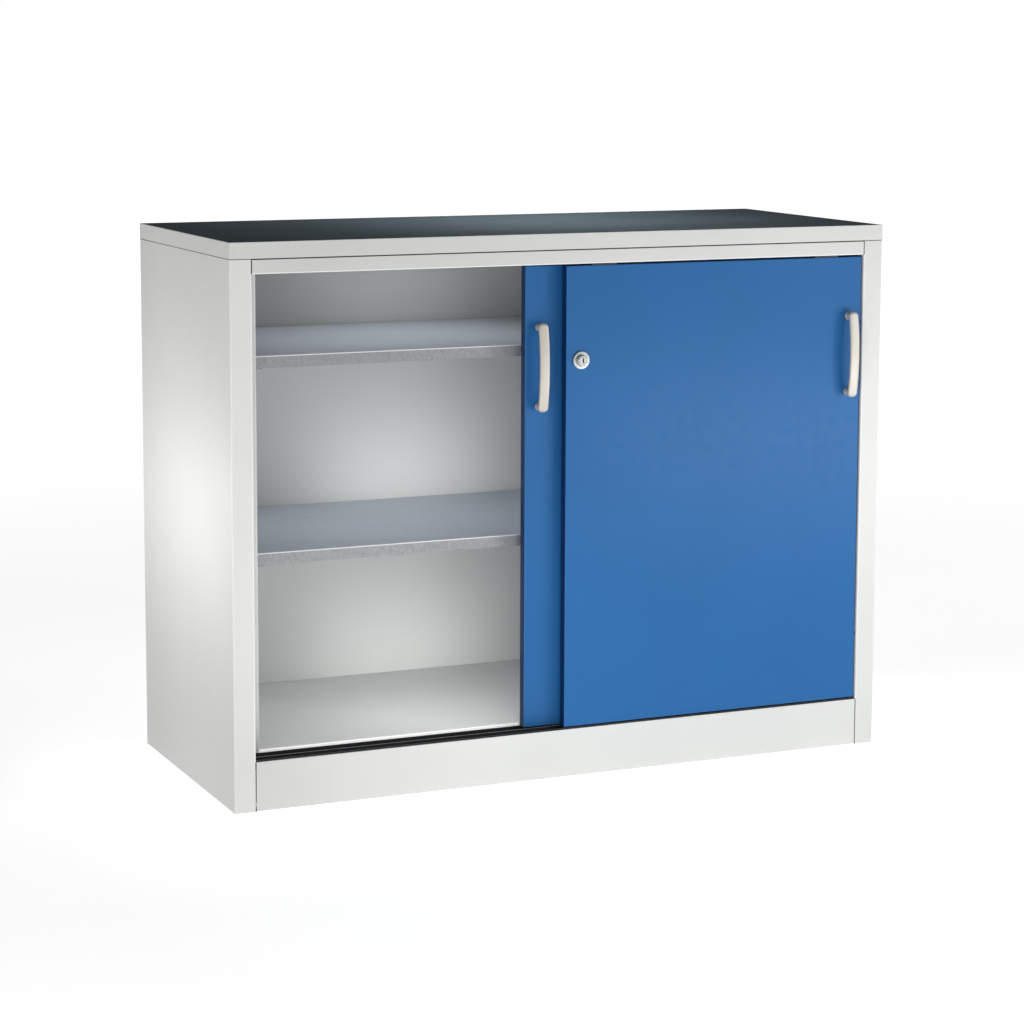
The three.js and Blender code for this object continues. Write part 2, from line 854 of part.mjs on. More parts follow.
// The key plug has a stepped slot for the key
function rotorForm() {
  const front = -plungerProud;
  const plug = barY(rotorDiameter, front, front + rotorDepth);
  const half = keySlotWidth / 2;
  const reach = [front - overrun, front + keySlotDepth];
  const upper = block([-half - keySlotStep / 2, half - keySlotStep / 2], reach, [0, keySlotHeight / 2]);
  const lower = block([-half + keySlotStep / 2, half + keySlotStep / 2], reach, [-keySlotHeight / 2, seat]);
  return cut(plug, upper, lower);
}

// Strike: an angle on the inner door's right flange, with the hole that the pin enters
function strikeForm() {
  const front = doorInset + doorDepth + strikeClearance - doorInset - doorSpacing;
  const section = foldedSection([
    [seat + strikeReach, front],
    [seat, front],
    [seat, strikeLeg],
  ].reverse(), strikeSheet, strikeBend);
  const plate = extrudeUp(section, -strikeHeight / 2, strikeHeight / 2);
  const hole = barY(strikeHole, front - overrun, front + strikeSheet + overrun);
  return cut(plate, hole.translate(outerClosed + lockInset - innerClosed - doorWidth, 0, 0));
}

function doorGroup(name, left, faceY, handleX, withLock) {
  const group = new THREE.Group();
  group.position.set(left, faceY, doorLow);
  const middle = doorDepth / 2;
  const axleUp = trackLow + trackBase + seat + rollerRadius - doorLow;
  group.add(piece(`${name}_door_panel`, 'door', doorForm(handleX, withLock)));
  group.add(piece(`${name}_door_stiffener`, 'zinc', stiffenerForm()));
  group.add(piece(`${name}_handle`, 'handle', handleForm(), handleX, 0, handleUp));
  [['lower', -1], ['upper', 1]].forEach(([place, end]) => {
    const z = handleUp + end * handlePitch / 2;
    group.add(piece(`${name}_handle_screw_${place}`, 'steel', screwForm(), handleX, 0, z));
  });
  ['left', 'right'].forEach((place, i) => {
    const axle = [wheelPlaces()[i], middle, axleUp];
    const top = [guidePlaces()[i], middle, doorHeight];
    group.add(piece(`${name}_roller_carriage_${place}`, 'nylon', carriageForm(axleUp), ...axle));
    group.add(piece(`${name}_roller_${place}`, 'nylon', rollerForm(), ...axle));
    group.add(piece(`${name}_top_guide_${place}`, 'nylon', guideForm(), ...top));
  });
  return group;
}

const cabinet = new THREE.Group();
cabinet.position.y = frontPlane;

const sidePanel = sidePanelForm();
cabinet.add(piece('side_panel_left', 'body', sidePanel));
cabinet.add(piece('side_panel_right', 'body', mirrored(sidePanel, -1, 1)));
cabinet.add(piece('back_panel', 'body', backPanelForm(), edge - rearReturn - seat, depth));
cabinet.add(piece('floor_panel', 'body', floorForm()));
cabinet.add(piece('plinth_panel', 'body', plinthForm()));
cabinet.add(piece('header_rail', 'body', headerForm()));
cabinet.add(piece('top_panel', 'body', topForm(), 0, 0, height - topHeight));
cabinet.add(piece('rubber_mat', 'mat', matForm()));
cabinet.add(piece('lower_track', 'track', lowerTrackForm()));
cabinet.add(piece('upper_rail', 'zinc', upperRailForm()));

const upright = uprightForm();
[['left', 1], ['right', -1]].forEach(([side, x]) => {
  cabinet.add(piece(`upright_front_${side}`, 'body', mirrored(upright, x, 1)));
  cabinet.add(piece(`upright_rear_${side}`, 'body', mirrored(upright, x, -1), 0, frameSetback + frameBack));
});

const clipYs = { front: frameSetback + slotInset, rear: frameBack - slotInset };
shelfSteps.forEach((step, i) => {
  const name = ['lower', 'upper'][i];
  const z = floorHeight + step * slotPitch;
  cabinet.add(piece(`shelf_${name}`, 'zinc', shelfForm(), 0, 0, z));
  Object.entries(clipYs).forEach(([place, y]) => {
    [['left', 1], ['right', -1]].forEach(([side, x]) => {
      const clip = mirrored(clipForm(), x, 1);
      const slot = [x * frameInner, y, slotHeightAt(step)];
      cabinet.add(piece(`shelf_clip_${name}_${place}_${side}`, 'zinc', clip, ...slot));
    });
  });
});

[doorLow + bufferInset, doorTop - bufferInset].forEach((z, i) => {
  const name = ['lower', 'upper'][i];
  const post = edge - postWidth;
  const facing = mirrored(bufferForm(), -1, 1);
  cabinet.add(piece(`door_buffer_left_${name}`, 'rubber', bufferForm(), -post, innerMiddle, z));
  cabinet.add(piece(`door_buffer_right_${name}`, 'rubber', facing, post, outerMiddle, z));
});

const guideEnd = guideInset - guideLength / 2;
const innerStop = innerOpen + doorWidth - guideEnd + seat;
const outerStop = outerClosed - doorTravel + guideEnd - seat - stopLength;
cabinet.add(piece('door_stop_inner', 'nylon', stopForm(), innerStop, innerMiddle));
cabinet.add(piece('door_stop_outer', 'nylon', stopForm(), outerStop, outerMiddle));

const outerDoor = doorGroup('outer', outerClosed, doorInset, doorWidth - handleInset, true);
outerDoor.add(piece('lock_housing', 'nickel', housingForm(), lockInset, 0, lockUp));
outerDoor.add(piece('lock_nut', 'steel', nutForm(), lockInset, 0, lockUp));
outerDoor.add(piece('lock_plunger', 'nickel', plungerForm(), lockInset, 0, lockUp));
outerDoor.add(piece('lock_rotor', 'nickel', rotorForm(), lockInset, 0, lockUp));
cabinet.add(outerDoor);

const innerDoor = doorGroup('inner', innerOpen, doorInset + doorSpacing, handleInset, false);
innerDoor.add(piece('strike_bracket', 'zinc', strikeForm(), doorWidth, 0, lockUp));
cabinet.add(innerDoor);

// How far the doors and the lock's pin travel, for the record's joints
const toHandle = openStagger - handleInset - handleWidth / 2;
console.log('inner door travel', doorTravel.toFixed(2));
console.log('outer door to the inner handle', toHandle.toFixed(2));
console.log('lock travel', plungerTravel);
console.log('axle height', (trackLow + trackBase + seat + rollerRadius).toFixed(2));

export default cabinet;
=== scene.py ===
"""Looks for the sliding door cabinet.

Finishes for the CAD nodes, fine handles, lock and mat in their place, and a stage: a pale floor,
soft lights and a camera at the photograph's viewing angle.
"""

import json
import math

import bmesh
import bpy
from mathutils import Matrix, Vector

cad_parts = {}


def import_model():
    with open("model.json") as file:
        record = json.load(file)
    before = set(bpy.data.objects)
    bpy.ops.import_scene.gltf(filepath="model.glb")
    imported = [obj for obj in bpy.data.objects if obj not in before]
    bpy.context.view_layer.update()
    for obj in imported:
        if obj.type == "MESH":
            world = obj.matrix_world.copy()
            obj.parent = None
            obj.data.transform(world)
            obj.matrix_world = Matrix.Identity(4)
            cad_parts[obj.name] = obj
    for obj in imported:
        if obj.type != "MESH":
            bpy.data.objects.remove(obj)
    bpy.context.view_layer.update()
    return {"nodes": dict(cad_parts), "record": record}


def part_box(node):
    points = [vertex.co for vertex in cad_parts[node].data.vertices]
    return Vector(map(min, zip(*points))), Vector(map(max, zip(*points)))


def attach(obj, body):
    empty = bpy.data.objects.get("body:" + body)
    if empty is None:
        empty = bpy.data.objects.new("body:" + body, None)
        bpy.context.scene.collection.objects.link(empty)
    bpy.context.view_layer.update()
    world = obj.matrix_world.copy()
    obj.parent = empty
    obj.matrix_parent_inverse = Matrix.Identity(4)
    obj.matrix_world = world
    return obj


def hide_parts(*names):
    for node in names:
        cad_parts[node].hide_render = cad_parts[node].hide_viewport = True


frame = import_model()
nodes = frame["nodes"]
MM = 0.001

# Camera: the photograph's viewing angle
FRAME_PIXELS = 1024
FOCAL_PIXELS = 2782.3
CAMERA_PLACE = (-1.968, -4.438, 1.253)
CAMERA_YAW = 23.862
CAMERA_PITCH = -7.615
CAMERA_ROLL = 0.197
CAMERA_SHIFT = -0.1
SENSOR_WIDTH = 36.0

# Studio. The floor's glow grows from its near tone to its far one between two distances from the
# middle. A light that stands no further than INDOORS to a side, to the front or to the back shows
# in no gloss.
ROOM_LIGHT = 0.1
FLOOR_REACH = 30
FLOOR_DROP = 0.5 * MM
FLOOR_TONES = ((0.9, 0.9, 0.9), (0.93, 0.93, 0.93))
FLOOR_ROUGHNESS = 0.8
FLOOR_GLOW = 1
FLOOR_GLOW_SPAN = (1.0, 5.0)
FLOOR_GLOW_NEAR = (0.76, 0.76, 0.76)
FLOOR_GLOW_FAR = (1, 1, 1)
INDOORS = 0.5
# Each soft light has a place, a point that it faces, a width and height, and a power
STUDIO_LIGHTS = [
    ("key", (2.2, -2.35, 1.15), (0.1, -0.25, 0.5), (0.28, 0.28), 12.6),
    ("left_fill", (-2.0, -2.6, 0.5), (-0.4, 0, 0.45), (0.9, 0.5), 8.9),
    ("right_strip", (0.75, -0.95, 0.45), (0.4, 0, 0.45), (0.8, 0.15), 2.6),
    ("side_strip", (-0.9, 0, 0.47), (-0.6, 0, 0.47), (0.5, 0.04), 0.8),
    ("top_light", (0.1, 0.1, 1.35), (0.1, 0.1, 0.93), (0.3, 0.3), 3.6),
    ("doorway_light", (-0.2, -0.75, 0.25), (-0.15, 0.25, 0.3), (0.3, 0.3), 0.85),
    ("ceiling_top", (-0.14, 0.05, 0.865), (-0.14, 0.05, 0.42), (0.35, 0.3), 0.1),
    ("ceiling_middle", (-0.14, -0.03, 0.68), (-0.14, -0.03, 0.42), (0.35, 0.22), 0.13),
    ("ceiling_low", (-0.13, 0.0, 0.375), (-0.13, 0.0, 0.1), (0.3, 0.25), 0.1),
]
# The same for lights that each reach one node only, which is named last
NODE_LIGHTS = [
    ("wall_top", (-0.12, 0.1, 0.77), (-0.12, 0.245, 0.76), (0.25, 0.05), 0.035, "back_panel"),
    ("wall_middle", (-0.12, 0.08, 0.46), (-0.12, 0.245, 0.44), (0.3, 0.05), 0.24, "back_panel"),
    ("wall_low", (-0.12, 0.08, 0.13), (-0.12, 0.245, 0.11), (0.3, 0.05), 0.2, "back_panel"),
    ("shelf_top", (-0.25, 0.02, 0.87), (-0.25, 0.02, 0.42), (0.5, 0.42), 0.2, "shelf_upper"),
    ("shelf_low", (-0.25, 0.02, 0.66), (-0.25, 0.02, 0.42), (0.5, 0.42), 0.2, "shelf_lower"),
    ("floor_middle", (-0.2, -0.08, 0.34), (-0.2, -0.08, 0.1), (0.15, 0.15), 0.3, "floor_panel"),
    ("floor_fold", (-0.3, -0.62, 0.25), (-0.3, -0.187, 0.088), (0.45, 0.05), 1.7, "floor_panel"),
    ("left_strip", (-0.8, -0.9, 0.47), (-0.6, -0.2, 0.47), (0.3, 0.08), 0.9, "side_panel_left"),
]

# Handles: a cast strap with rounded ends that bows outwards on two round legs
HANDLE_LEG = 14 * MM
HANDLE_PITCH = 134 * MM
HANDLE_STRAP = 6.5 * MM
HANDLE_END_ROUND = 8 * MM
HANDLE_END_DEPTH = 20 * MM
HANDLE_CORNER = 5 * MM
HANDLE_FOOT = 0.7 * MM
HANDLE_STEPS = 96
HANDLE_SIDES = 40
HANDLE_LEG_SIDES = 48
# How square the strap's section is: the powers of its cosine and sine
HANDLE_SQUARE = (0.5, 0.6)
# The size of the grains and the rounds of smoothing that melt the legs into the strap
HANDLE_GRAIN = 0.7 * MM
HANDLE_ROUNDS = 4
HANDLE_SMOOTH = 60

# Lock: the collar, the cylinder and the key plug
LOCK_COLLAR_HEIGHT = 3 * MM
LOCK_COLLAR_EDGE = 0.9 * MM
LOCK_COLLAR_LAP = 3.5 * MM
LOCK_RING_PLACE = 1.6 * MM
LOCK_RING_WIDTH = 0.5 * MM
LOCK_RING_DEPTH = 0.35 * MM
LOCK_CLEARANCE = 0.3 * MM
LOCK_SIDES = 96
LOCK_SMOOTH = 35
PLUNGER_EDGE = 1 * MM
PLUNGER_LIP = 0.3 * MM
PIN_RADIUS = 4 * MM
PIN_LENGTH = 8 * MM
PLUG_EDGE = 0.35 * MM
PLUG_SIDES = 72
KEYWAY_WIDTH = 2.8 * MM
KEYWAY_HEIGHT = 8.4 * MM
KEYWAY_STEP = 1.3 * MM
KEYWAY_DEPTH = 6 * MM
# The depth over which painted shade darkens the keyway, and the share of its colour that is left
# there
KEYWAY_SHADE = 0.5 * MM
KEYWAY_DARK = 0.03

# Seams where painted shade draws thin dark lines on the coat: under the top panel, and between the
# posts and the header or plinth. In the doorway a painted highlight draws a pale line on the posts'
# edges instead.
SEAM_LEVEL = 902.85 * MM
SEAM_SIDE = 562.85 * MM
SEAM_WIDTH = 1.6 * MM
SEAM_LIP = 0.8 * MM
POST_LINE = 2.6 * MM
HEADER_BOTTOM = 878.5 * MM
PLINTH_TOP = 82.7 * MM
FRONT_PLANE = -230 * MM

# Shelves: the height of each top, and the width of the painted highlight line along its front fold
SHELF_TOPS = (415 * MM, 740 * MM)
SHELF_LINE = 2 * MM

# Track: the top of its middle rib, where a pale line is painted on as a highlight
TRACK_RIB_TOP = 85 * MM
TRACK_MIDDLE = -212 * MM
TRACK_RIB_REACH = 5 * MM

# Mat: rounded ribs that run its length
MAT_RIB_PITCH = 3 * MM
MAT_RIB_DEPTH = 0.55 * MM
MAT_RIB_STEPS = 6
MAT_SMOOTH = 60

# Noise: the part of its range that most of its values fill
SPREAD = (0.3, 0.7)

# Bumps: how far each finish rises and falls
COAT_GRAIN = 0.06 * MM
COAT_WAVE = 0.6 * MM
ZINC_GRAIN = 0.04 * MM
RUBBER_GRAIN = 0.1 * MM
DRAWN_GRAIN = 0.02 * MM
MOULDED_GRAIN = 0.08 * MM


def srgb(red, green, blue):
    """The linear colour of an 8-bit one."""
    return tuple(
        ((c / 255 + 0.055) / 1.055) ** 2.4 if c > 10 else c / 255 / 12.92
        for c in (red, green, blue)
    )


# Materials


class Surface:
    """A material under construction, with short ways to add its nodes."""

    def __init__(self, name, metallic=0.0, specular=0.5):
        self.material = bpy.data.materials.new(name)
        self.material.use_nodes = True
        self.tree = self.material.node_tree
        self.shader = self.tree.nodes["Principled BSDF"]
        self.shader.inputs["Metallic"].default_value = metallic
        self.shader.inputs["Specular IOR Level"].default_value = specular
        coordinates = self.tree.nodes.new("ShaderNodeTexCoord")
        self.place = coordinates.outputs["Object"]
        self.normal = coordinates.outputs["Normal"]

    def link(self, source, target):
        self.tree.links.new(source, target)

    def stretched(self, scale):
        node = self.tree.nodes.new("ShaderNodeMapping")
        node.inputs["Scale"].default_value = scale
        self.link(self.place, node.inputs["Vector"])
        return node.outputs["Vector"]

    def noise(self, scale, detail, rough=0.5, vector=None):
        node = self.tree.nodes.new("ShaderNodeTexNoise")
        node.inputs["Scale"].default_value = scale
        node.inputs["Detail"].default_value = detail
        node.inputs["Roughness"].default_value = rough
        self.link(vector or self.place, node.inputs["Vector"])
        return node.outputs["Fac"]

    def cells(self, scale, vector):
        node = self.tree.nodes.new("ShaderNodeTexVoronoi")
        node.inputs["Scale"].default_value = scale
        self.link(vector, node.inputs["Vector"])
        return node.outputs["Color"]

    def to_range(self, value, low, high, start=0.0, end=1.0):
        node = self.tree.nodes.new("ShaderNodeMapRange")
        names = ("From Min", "From Max", "To Min", "To Max")
        for name, number in zip(names, (start, end, low, high)):
            node.inputs[name].default_value = number
        self.link(value, node.inputs["Value"])
        return node.outputs["Result"]

    def maths(self, operation, first, second):
        node = self.tree.nodes.new("ShaderNodeMath")
        node.operation = operation
        for socket, value in zip(node.inputs, (first, second)):
            if isinstance(value, (int, float)):
                socket.default_value = value
            else:
                self.link(value, socket)
        return node.outputs["Value"]

    def product(self, *factors):
        whole = factors[0]
        for factor in factors[1:]:
            whole = self.maths("MULTIPLY", whole, factor)
        return whole

    def mixture(self, *shares):
        """The sum of values, each multiplied by the share given with it."""
        whole, *others = [self.maths("MULTIPLY", value, share) for value, share in shares]
        for other in others:
            whole = self.maths("ADD", whole, other)
        return whole

    def between(self, value, low, high):
        """One between two limits, and nothing outside them."""
        above = self.maths("GREATER_THAN", value, low)
        return self.product(above, self.maths("LESS_THAN", value, high))

    def distance(self, value, place):
        return self.maths("ABSOLUTE", self.maths("SUBTRACT", value, place), 0)

    def blend(self, factor, first, second):
        node = self.tree.nodes.new("ShaderNodeMix")
        node.data_type = "RGBA"
        self.link(factor, node.inputs["Factor"])
        for name, value in (("A", first), ("B", second)):
            socket = [s for s in node.inputs if s.name == name and s.type == "RGBA"][0]
            if isinstance(value, tuple):
                socket.default_value = (*value, 1)
            else:
                self.link(value, socket)
        return [s for s in node.outputs if s.type == "RGBA"][0]

    def axes(self):
        node = self.tree.nodes.new("ShaderNodeSeparateXYZ")
        self.link(self.place, node.inputs["Vector"])
        return [node.outputs[axis] for axis in "XYZ"]

    def facing(self):
        """How far the surface faces along each axis, and its upward share with its sign."""
        node = self.tree.nodes.new("ShaderNodeSeparateXYZ")
        self.link(self.normal, node.inputs["Vector"])
        sizes = [self.maths("ABSOLUTE", node.outputs[axis], 0) for axis in "XYZ"]
        return (*sizes, node.outputs["Z"])

    def bends(self, x, y, z):
        """One on the folds between flat faces, and nothing on the faces."""
        between_faces = self.mixture((x, y), (y, z), (z, x))
        return self.to_range(between_faces, 0, 1, 0.12, 0.4)

    def color(self, value):
        self.link(value, self.shader.inputs["Base Color"])

    def roughness(self, value):
        self.link(value, self.shader.inputs["Roughness"])

    def bump(self, height, distance, strength, below=None):
        node = self.tree.nodes.new("ShaderNodeBump")
        node.inputs["Strength"].default_value = strength
        node.inputs["Distance"].default_value = distance
        self.link(height, node.inputs["Height"])
        if below:
            self.link(below, node.inputs["Normal"])
        self.link(node.outputs["Normal"], self.shader.inputs["Normal"])
        return node.outputs["Normal"]


def shade(color, factor):
    return tuple(c * factor for c in color)


def seam_band(s, from_seam, facing):
    """One close to a seam, a little wider on the faces that turn into it."""
    lip = s.to_range(from_seam, 1, 0, SEAM_LIP * 0.6, SEAM_LIP)
    fold = s.to_range(from_seam, 1, 0, SEAM_WIDTH * 0.8, SEAM_WIDTH)
    return s.maths("MAXIMUM", lip, s.product(fold, s.to_range(facing, 0, 1, 0.1, 0.3)))


def seam_shade_mask(s, across, along):
    """One on the edges that meet at a seam of the carcass, where shade is painted, and nothing
    elsewhere.
    """
    x, y, z = s.axes()
    level = seam_band(s, s.distance(z, SEAM_LEVEL), along)
    upright = seam_band(s, s.distance(s.maths("ABSOLUTE", x, 0), SEAM_SIDE), across)
    header = s.between(z, HEADER_BOTTOM, SEAM_LEVEL)
    ends = s.maths("ADD", header, s.maths("LESS_THAN", z, PLINTH_TOP))
    front = s.maths("LESS_THAN", y, FRONT_PLANE)
    return s.maths("MAXIMUM", level, s.product(upright, ends, front))


def post_edge_highlight(s):
    """One on the posts' front edge along the doorway, where a pale line is painted as a highlight.
    """
    x, y, z = s.axes()
    past = s.maths("SUBTRACT", s.maths("ABSOLUTE", x, 0), SEAM_SIDE)
    line = s.between(past, -SEAM_LIP, POST_LINE)
    doorway = s.between(z, PLINTH_TOP, HEADER_BOTTOM)
    return s.product(line, doorway, s.maths("LESS_THAN", y, FRONT_PLANE))


def powder_coat(name, color, specular, low, high, fold_highlight, seam_shade=None, side=None):
    """Powder coat: a fine grain like orange peel, slow drifts of tone and gloss, and its folds.

    A painted highlight gives the folds a paler tone. Painted shade darkens the faces that look
    sideways and the carcass's seams, where these colours are given.
    """
    s = Surface(name, specular=specular)
    tone = s.mixture((s.noise(5, detail=3), 0.75), (s.noise(2600, detail=1), 0.25))
    x, y, z, _ = s.facing()
    flat = s.blend(s.to_range(tone, 0, 1, *SPREAD), shade(color, 0.965), shade(color, 1.03))
    # Painted shade: the faces that look sideways take the darker side colour
    if side:
        flat = s.blend(s.to_range(x, 0, 1, 0.6, 0.9), flat, side)
    # Painted highlight: the folds take the paler fold colour
    folds = s.bends(x, y, z)
    if seam_shade:
        # Painted highlight: a pale line along the posts' doorway edges
        folds = s.maths("MAXIMUM", folds, post_edge_highlight(s))
    whole = s.blend(folds, flat, fold_highlight)
    # Painted shade: the carcass's seams take the dark seam colour
    s.color(s.blend(seam_shade_mask(s, x, z), whole, seam_shade) if seam_shade else whole)
    s.roughness(s.to_range(s.noise(60, detail=4), low, high, *SPREAD))
    grain = s.bump(s.noise(900, detail=2), COAT_GRAIN, 0.35)
    s.bump(s.noise(14, detail=1), COAT_WAVE, 0.12, below=grain)
    return s.material


def galvanised(name, face, top, fold_highlight):
    """Zinc on steel: fine mottling on its edges, faint rolling marks on its wide faces.

    A painted highlight brightens the folds and a line along each shelf's front, and the upward
    faces are painted paler than the upright ones.
    """
    s = Surface(name, metallic=0.1, specular=0.4)
    x, y, z, _ = s.facing()
    spangle = s.cells(1, s.stretched((380, 380, 190)))
    cloud = s.noise(150, detail=4, rough=0.6)
    streak = s.noise(1, detail=4, vector=s.stretched((4, 150, 150)))
    mottle = s.mixture((spangle, 0.35), (cloud, 0.65))
    rolled = s.mixture((streak, 0.55), (cloud, 0.45))
    upright = s.blend(s.to_range(mottle, 0, 1, *SPREAD), shade(face, 0.86), shade(face, 1.14))
    level = s.blend(s.to_range(rolled, 0, 1, *SPREAD), shade(top, 0.93), shade(top, 1.07))
    # Partly the zinc's own look, mottled upright faces and rolled wide ones, partly painted light:
    # the upward faces take a paler, bluer colour
    flat = s.blend(s.to_range(z, 0, 1, 0.5, 0.8), upright, level)
    height = s.axes()[2]
    depths = [s.distance(height, shelf_top) for shelf_top in SHELF_TOPS]
    lines = [s.maths("LESS_THAN", depth, SHELF_LINE) for depth in depths]
    # Painted highlight: the folds and a line along each shelf's front fold take the bright fold
    # colour
    line = s.product(s.maths("ADD", *lines), s.to_range(y, 0, 1, 0.2, 0.4))
    s.color(s.blend(s.maths("MAXIMUM", s.bends(x, y, z), line), flat, fold_highlight))
    s.roughness(s.to_range(mottle, 0.52, 0.4, *SPREAD))
    s.bump(s.noise(420, detail=3), ZINC_GRAIN, 0.3)
    return s.material


def ribbed_rubber(name, color):
    """Mat rubber: matt slate with faint streaks along its ribs and a light bloom."""
    s = Surface(name, specular=0.4)
    streak = s.noise(1, detail=5, rough=0.65, vector=s.stretched((1.1, 60, 1)))
    fine = s.noise(1, detail=2, vector=s.stretched((8, 420, 8)))
    cloud = s.noise(3.2, detail=3)
    tone = s.mixture((streak, 0.55), (cloud, 0.25), (fine, 0.2))
    s.color(s.blend(s.to_range(tone, 0, 1, 0.33, 0.67), shade(color, 0.7), shade(color, 1.4)))
    s.roughness(s.to_range(streak, 0.5, 0.66, *SPREAD))
    s.bump(s.noise(1500, detail=2), RUBBER_GRAIN, 0.4)
    return s.material


def drawn_metal(s, color, darkest, low, high):
    """Gives a surface a faint drawn grain, and returns its colour."""
    drawn = s.noise(1, detail=3, vector=s.stretched((2600, 2600, 120)))
    tone = s.mixture((drawn, 0.5), (s.noise(90, detail=3), 0.5))
    s.roughness(s.to_range(tone, low, high, *SPREAD))
    s.bump(drawn, DRAWN_GRAIN, 0.25)
    return s.blend(s.to_range(tone, 0, 1, *SPREAD), shade(color, darkest), shade(color, 1.04))


def cast_satin(name, color, shaded, low, high):
    """Satin lacquered casting with painted shade: paler above and painted darker below, with a
    faint drawn grain.
    """
    s = Surface(name, metallic=0.15, specular=0.4)
    *_, up = s.facing()
    grain = drawn_metal(s, color, 0.95, low, high)
    # Painted shade: the faces that look down take the darker shaded colour
    s.color(s.blend(s.to_range(up, 0, 1, -0.9, 0.2), shaded, grain))
    return s.material


def satin_metal(name, color, metallic, low, high, painted_shade_from=None):
    """Satin plated or lacquered metal, darkened by painted shade past a depth where one is given.
    """
    s = Surface(name, metallic=metallic)
    whole = drawn_metal(s, color, 0.94, low, high)
    if painted_shade_from is not None:
        # Painted shade: the keyway turns dark past the given depth
        depth = s.to_range(s.axes()[1], 0, 1, painted_shade_from, painted_shade_from + KEYWAY_SHADE)
        whole = s.blend(depth, whole, shade(color, KEYWAY_DARK))
    s.color(whole)
    return s.material


def moulded(name, color, low, high, rib_glint=None):
    """Moulded plastic or rubber with a fine eroded grain, and a painted highlight on the track's
    middle rib if given.
    """
    s = Surface(name)
    tone = s.to_range(s.noise(40, detail=3), 0, 1, *SPREAD)
    whole = s.blend(tone, shade(color, 0.9), shade(color, 1.1))
    if rib_glint:
        _, y, z = s.axes()
        near = s.maths("LESS_THAN", s.distance(y, TRACK_MIDDLE), TRACK_RIB_REACH)
        rib = s.product(s.maths("GREATER_THAN", z, TRACK_RIB_TOP), near)
        # Painted highlight: the top of the track's middle rib takes the pale colour
        whole = s.blend(rib, whole, rib_glint)
    s.color(whole)
    s.roughness(s.to_range(s.noise(220, detail=2), low, high, *SPREAD))
    s.bump(s.noise(1200, detail=2), MOULDED_GRAIN, 0.3)
    return s.material


# The colour, metallic share and roughness of the lock's plating
NICKEL = (srgb(196, 199, 198), 0.5, 0.27, 0.36)

finishes = {
    # Body coat: the paler fold colour is a painted highlight, and the dark seam colour is painted
    # shade in the gaps
    "body_paint": powder_coat(
        "body_powder_coat", srgb(221, 222, 219), specular=0.3, low=0.4, high=0.5,
        fold_highlight=srgb(240, 241, 240), seam_shade=srgb(86, 91, 90),
    ),
    # Door coat: the paler fold colour is a painted highlight, and the dark side colour is painted
    # shade on the faces that look sideways
    "door_paint": powder_coat(
        "door_powder_coat", srgb(37, 102, 163), specular=0.2, low=0.36, high=0.46,
        fold_highlight=srgb(56, 118, 178), side=srgb(10, 46, 96),
    ),
    # Zinc: the bright fold colour is a painted highlight, and the paler top colour is partly
    # painted light
    "zinc": galvanised(
        "galvanised_steel",
        face=srgb(152, 153, 156), top=srgb(206, 213, 223), fold_highlight=srgb(234, 236, 238),
    ),
    "track_plastic": moulded(
        # the pale colour is a painted highlight on the middle rib
        "track_plastic", srgb(28, 30, 32), 0.38, 0.5, rib_glint=srgb(176, 180, 184)
    ),
    "mat_rubber": ribbed_rubber("mat_rubber", srgb(72, 83, 89)),
    # Handles: the second colour is painted shade on the undersides
    "handle_metal": cast_satin(
        "handle_satin", srgb(216, 210, 200), srgb(172, 166, 156), 0.36, 0.46
    ),
    "nickel": satin_metal("satin_nickel", *NICKEL),
    "fastener_steel": satin_metal("zinc_plated_steel", srgb(186, 188, 190), 0.9, 0.28, 0.4),
    "nylon": moulded("dark_nylon", srgb(48, 50, 53), 0.36, 0.48),
    "buffer_rubber": moulded("buffer_rubber", srgb(36, 38, 41), 0.6, 0.75),
}

for part in frame["record"]["subparts"]:
    node = nodes[part["node"]]
    node.data.materials.clear()
    node.data.materials.append(finishes[part["material_slot"]])


# Mesh helpers


def piece(name, bm, slot, body, replaced, smooth_angle):
    """Turns a bmesh into a piece that rides on a body and stands for a CAD node."""
    bmesh.ops.recalc_face_normals(bm, faces=bm.faces)
    mesh = bpy.data.meshes.new(name)
    bm.to_mesh(mesh)
    bm.free()
    mesh.shade_smooth()
    mesh.set_sharp_from_angle(angle=math.radians(smooth_angle))
    mesh.materials.append(finishes[slot])
    made = bpy.data.objects.new(name, mesh)
    bpy.context.scene.collection.objects.link(made)
    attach(made, body)
    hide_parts(replaced)
    return made


def band(bm, a, b):
    """Joins two loops of as many points."""
    for i in range(len(a)):
        j = (i + 1) % len(a)
        bm.faces.new((a[i], a[j], b[j], b[i]))


def skin(bm, rings):
    """Joins rings of points into a closed surface."""
    made = [[bm.verts.new(p) for p in ring] for ring in rings]
    for a, b in zip(made, made[1:]):
        band(bm, a, b)
    bm.faces.new(made[0])
    bm.faces.new(made[-1])


def turned(bm, profile, centre_x, centre_z, steps):
    """A closed profile of (radius, y) points, turned about an axis along Y.

    The turns share the points that lie on the axis.
    """
    rings = []
    poles = {i: bm.verts.new((centre_x, y, centre_z)) for i, (r, y) in enumerate(profile) if r == 0}
    for k in range(steps):
        angle = 2 * math.pi * k / steps
        c, s = math.cos(angle), math.sin(angle)
        ring = []
        for i, (r, y) in enumerate(profile):
            place = (centre_x + r * c, y, centre_z + r * s)
            ring.append(poles.get(i) or bm.verts.new(place))
        rings.append(ring)
    count = len(profile)
    for k in range(steps):
        a, b = rings[k], rings[(k + 1) % steps]
        for i in range(count):
            j = (i + 1) % count
            corners = list(dict.fromkeys((a[i], b[i], b[j], a[j])))
            if len(corners) > 2:
                bm.faces.new(corners)


def arc(centre_r, centre_y, radius, start, end, steps):
    """Points of an arc in (radius, y), with angles in degrees from the radius axis."""
    turns = [math.radians(start + (end - start) * k / steps) for k in range(steps + 1)]
    return [(centre_r + radius * math.cos(t), centre_y + radius * math.sin(t)) for t in turns]


